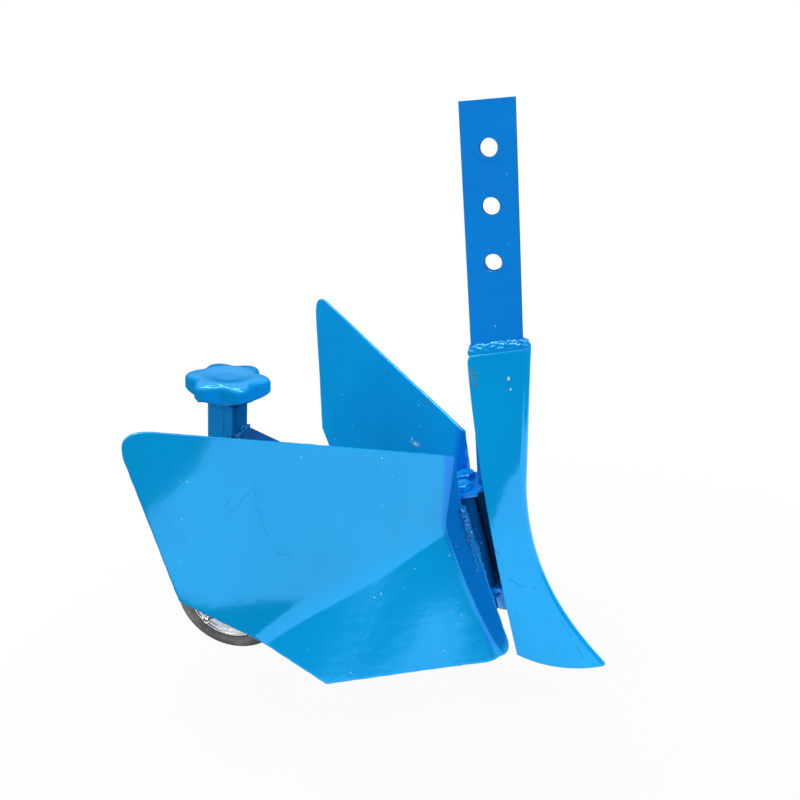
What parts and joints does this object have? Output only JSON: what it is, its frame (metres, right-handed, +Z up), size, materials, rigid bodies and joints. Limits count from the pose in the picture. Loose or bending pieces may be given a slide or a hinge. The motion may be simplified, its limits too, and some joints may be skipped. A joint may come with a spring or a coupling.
{
  "type": "furrowing plough attachment",
  "caption": "Furrowing plough attachment for a small tiller: flat-bar shank, curved V share, hinged adjustable wings and a rear depth wheel that a star knob raises and lowers.",
  "frame": {"origin": "centre of the middle pin hole in the shank, halfway through the bar", "axes": "+X forward, the way the share points; +Y to the left, along the pin holes; +Z up along the shank"},
  "size_m": [0.4475, 0.4454, 0.5331],
  "materials": {
    "blue_paint": "gloss",
    "bare_steel": "satin",
    "zinc_steel": "satin",
    "tyre_rubber": "matt",
    "bush_plastic": "matt"
  },
  "bodies": {
    "frame": {"shank": "blue_paint", "share": "blue_paint", "shank_weld": "blue_paint", "upper_hinge_plate": "blue_paint", "lower_hinge_plate": "blue_paint", "hinge_web": "blue_paint", "hinge_rib": "blue_paint", "pivot_bolt_right": "blue_paint", "pivot_bolt_left": "blue_paint", "pivot_washer_right": "blue_paint", "pivot_washer_left": "blue_paint", "pivot_nut_right": "blue_paint", "pivot_nut_left": "blue_paint", "beam": "blue_paint", "beam_tongue": "blue_paint", "post_gusset": "blue_paint", "post_tube": "blue_paint", "post_cap": "blue_paint", "clamp_boss": "blue_paint", "clamp_washer": "blue_paint", "clamp_bolt": "blue_paint"},
    "right_wing": {"wing_plate_right": "blue_paint", "hinge_sleeve_right": "blue_paint", "sleeve_weld_right": "blue_paint", "adjuster_strap_right": "blue_paint"},
    "left_wing": {"wing_plate_left": "blue_paint", "hinge_sleeve_left": "blue_paint", "sleeve_weld_left": "blue_paint", "adjuster_strap_left": "blue_paint"},
    "knob_set": {"knob": "blue_paint", "lead_screw": "bare_steel", "screw_collar": "bare_steel", "collar_pin": "bare_steel"},
    "wheel_carrier": {"slide_tube": "blue_paint", "screw_nut": "bare_steel", "fork_crown": "blue_paint", "fork_leg_right": "blue_paint", "fork_leg_left": "blue_paint", "axle_bolt": "blue_paint", "axle_nut": "blue_paint", "axle_washer": "blue_paint", "axle_spacers": "bare_steel"},
    "wheel": {"tyre": "tyre_rubber", "rim_band": "zinc_steel", "rim_disc_right": "zinc_steel", "rim_disc_left": "zinc_steel", "rim_bolts": "zinc_steel", "rim_nuts": "zinc_steel", "hub_tube": "zinc_steel", "hub_bushes": "bush_plastic"}
  },
  "joints": [
    {"name": "right_wing_swing", "type": "hinge", "parent": "frame", "child": "right_wing", "pos_m": [-0.0265, -0.012, -0.3055], "axis": [-0.1848, 0, 0.9828], "range_deg": [-9, 6]},
    {"name": "left_wing_swing", "type": "hinge", "parent": "frame", "child": "left_wing", "pos_m": [-0.0265, 0.012, -0.3055], "axis": [0.1848, 0, -0.9828], "range_deg": [-9, 6]},
    {"name": "knob_turn", "type": "hinge", "parent": "frame", "child": "knob_set", "pos_m": [-0.2638, 0, -0.1745], "axis": [-0.1616, 0, -0.9869], "range_deg": [-3600, 2880]},
    {"name": "wheel_lift", "type": "slide", "parent": "frame", "child": "wheel_carrier", "axis": [0.1616, 0, 0.9869], "range_m": [-0.03, 0.024]},
    {"name": "wheel_spin", "type": "hinge", "parent": "wheel_carrier", "child": "wheel", "pos_m": [-0.29, 0, -0.38706], "axis": [0, 1, 0], "continuous": true}
  ],
  "couplings": [
    {"joint": "wheel_lift", "follows": "knob_turn", "m_per_rad": 0.00047746}
  ]
}
